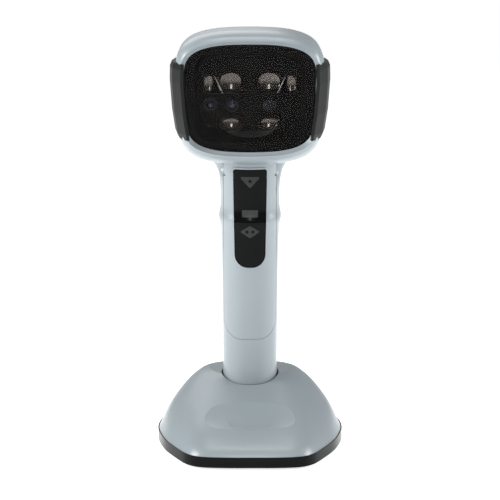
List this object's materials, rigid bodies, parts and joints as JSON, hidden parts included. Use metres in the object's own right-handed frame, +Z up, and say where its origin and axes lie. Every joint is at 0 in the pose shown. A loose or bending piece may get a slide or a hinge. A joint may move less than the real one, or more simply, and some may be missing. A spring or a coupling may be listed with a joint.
{
  "type": "presentation barcode imager",
  "caption": "Upright hand-held and hands-free barcode imager: rounded head with smoked window, slim handle with black trigger panel, heavy low base.",
  "frame": {"origin": "on the resting plane, under the middle of the base's bounding box", "axes": "+X to the object's left as it faces the customer (the viewer's right), the scan window faces -Y, +Z up"},
  "size_m": [0.0978, 0.1101, 0.219],
  "materials": {
    "shell_grey": "fine satin",
    "smoked_window": "polished smoked",
    "black_rubber": "matt",
    "black_plastic": "matt",
    "black_gloss": "gloss",
    "dark_mirror": "dark vacuum plated",
    "circuit_board": "solder mask",
    "led_package": "satin",
    "black_metal": "black anodised",
    "clear_plastic": "clear",
    "zinc_steel": "zinc plated",
    "tinned_steel": "tinned",
    "status_lens": "translucent grey",
    "clear_rubber": "translucent silicone",
    "flex_film": "amber film",
    "ballast_iron": "painted"
  },
  "bodies": {
    "imager_body": {"aimer_lens": "clear_plastic", "ballast_weight": "ballast_iron", "base_plate": "black_plastic", "base_screws": "zinc_steel", "base_shell": "shell_grey", "beeper": "black_plastic", "board_screws": "zinc_steel", "bumper_left": "black_rubber", "bumper_right": "black_rubber", "button_dome": "clear_rubber", "cable_jack": "black_plastic", "chassis_screws": "zinc_steel", "cover_screws": "zinc_steel", "flex_cable": "flex_film", "handle_board": "circuit_board", "handle_front_cover": "shell_grey", "handle_socket": "black_plastic", "head_bezel": "shell_grey", "illumination_board": "circuit_board", "illumination_leds": "led_package", "imager_module": "black_plastic", "lens_barrel": "black_metal", "lower_reflector": "dark_mirror", "main_board": "circuit_board", "optics_chassis": "black_plastic", "presence_sensor": "black_metal", "rear_housing": "shell_grey", "rubber_feet": "black_rubber", "scan_window": "smoked_window", "shield_can": "tinned_steel", "status_led": "led_package", "trigger_pin": "zinc_steel", "trigger_spring": "zinc_steel", "trigger_switch": "black_plastic", "trim_band": "black_gloss", "upper_reflector": "dark_mirror", "window_gasket": "black_rubber"},
    "trigger": {"scan_trigger": "black_gloss", "status_window": "status_lens"},
    "plunger": {"switch_plunger": "led_package"},
    "button": {"mode_button": "black_gloss"}
  },
  "joints": [
    {"name": "trigger_hinge", "type": "hinge", "parent": "imager_body", "child": "trigger", "pos_m": [0, -0.0095, 0.14348], "axis": [1, 0, 0], "range_deg": [0, 2.4], "stiffness_Nm_per_rad": 0.4, "springref_deg": -1.15, "deforming": ["trigger_spring"]},
    {"name": "plunger_slide", "type": "slide", "parent": "imager_body", "child": "plunger", "axis": [0, 0.9945, 0.1045], "range_m": [0, 0.000354]},
    {"name": "button_slide", "type": "slide", "parent": "imager_body", "child": "button", "axis": [0, 0.9945, 0.1045], "range_m": [0, 0.0008], "stiffness_N_per_m": 800, "deforming": ["button_dome"]}
  ],
  "couplings": [
    {"joint": "plunger_slide", "follows": "trigger_hinge", "m_per_rad": 0.0084}
  ]
}
